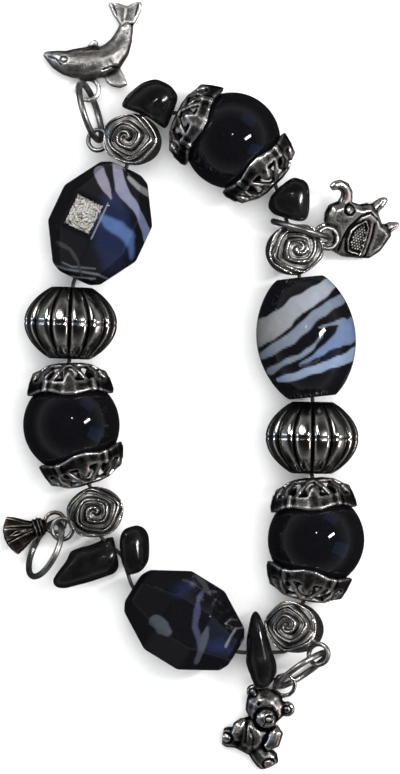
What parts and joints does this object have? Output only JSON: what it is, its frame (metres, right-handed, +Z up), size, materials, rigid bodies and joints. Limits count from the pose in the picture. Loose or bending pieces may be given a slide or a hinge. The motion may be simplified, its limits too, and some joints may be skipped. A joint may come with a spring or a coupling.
{
  "type": "charm bracelet",
  "caption": "Stretch bracelet of black glass, stone and antiqued silver beads on an elastic thread, with small cast animal and posy charms on jump rings.",
  "frame": {"origin": "middle of the bottom of the bounding box, on the surface that the beads lie on", "axes": "+Y along the length of the laid-out loop, towards the dolphin's end; +X across it, towards the elephant; +Z straight up from the surface"},
  "size_m": [0.0578, 0.1122, 0.0144],
  "materials": {
    "black_glass": "polished opaque black, with white swirls on the three large beads",
    "black_stone": "tumble-polished opaque black",
    "antique_silver": "cast and silver plated, blackened in the recesses and rubbed bright on the ridges",
    "elastic": "smooth dark thread"
  },
  "bodies": {
    "root": {"rose_1": "antique_silver", "chip_1": "black_stone", "cap_1a": "antique_silver", "bead_1": "black_glass", "cap_1b": "antique_silver", "chip_2": "black_stone", "rose_2": "antique_silver", "swirl_2": "black_glass", "melon_2": "antique_silver", "cap_2a": "antique_silver", "bead_2": "black_glass", "cap_2b": "antique_silver", "rose_3": "antique_silver", "chip_5": "black_stone", "swirl_3": "black_glass", "chip_4": "black_stone", "chip_3": "black_stone", "rose_4": "antique_silver", "cap_3b": "antique_silver", "bead_3": "black_glass", "cap_3a": "antique_silver", "melon_1": "antique_silver", "swirl_1": "black_glass", "elastic": "elastic", "ring_1": "antique_silver", "dolphin": "antique_silver", "ring_2": "antique_silver", "elephant": "antique_silver", "ring_3": "antique_silver", "bear": "antique_silver", "ring_4": "antique_silver", "posy": "antique_silver"}
  },
  "joints": []
}
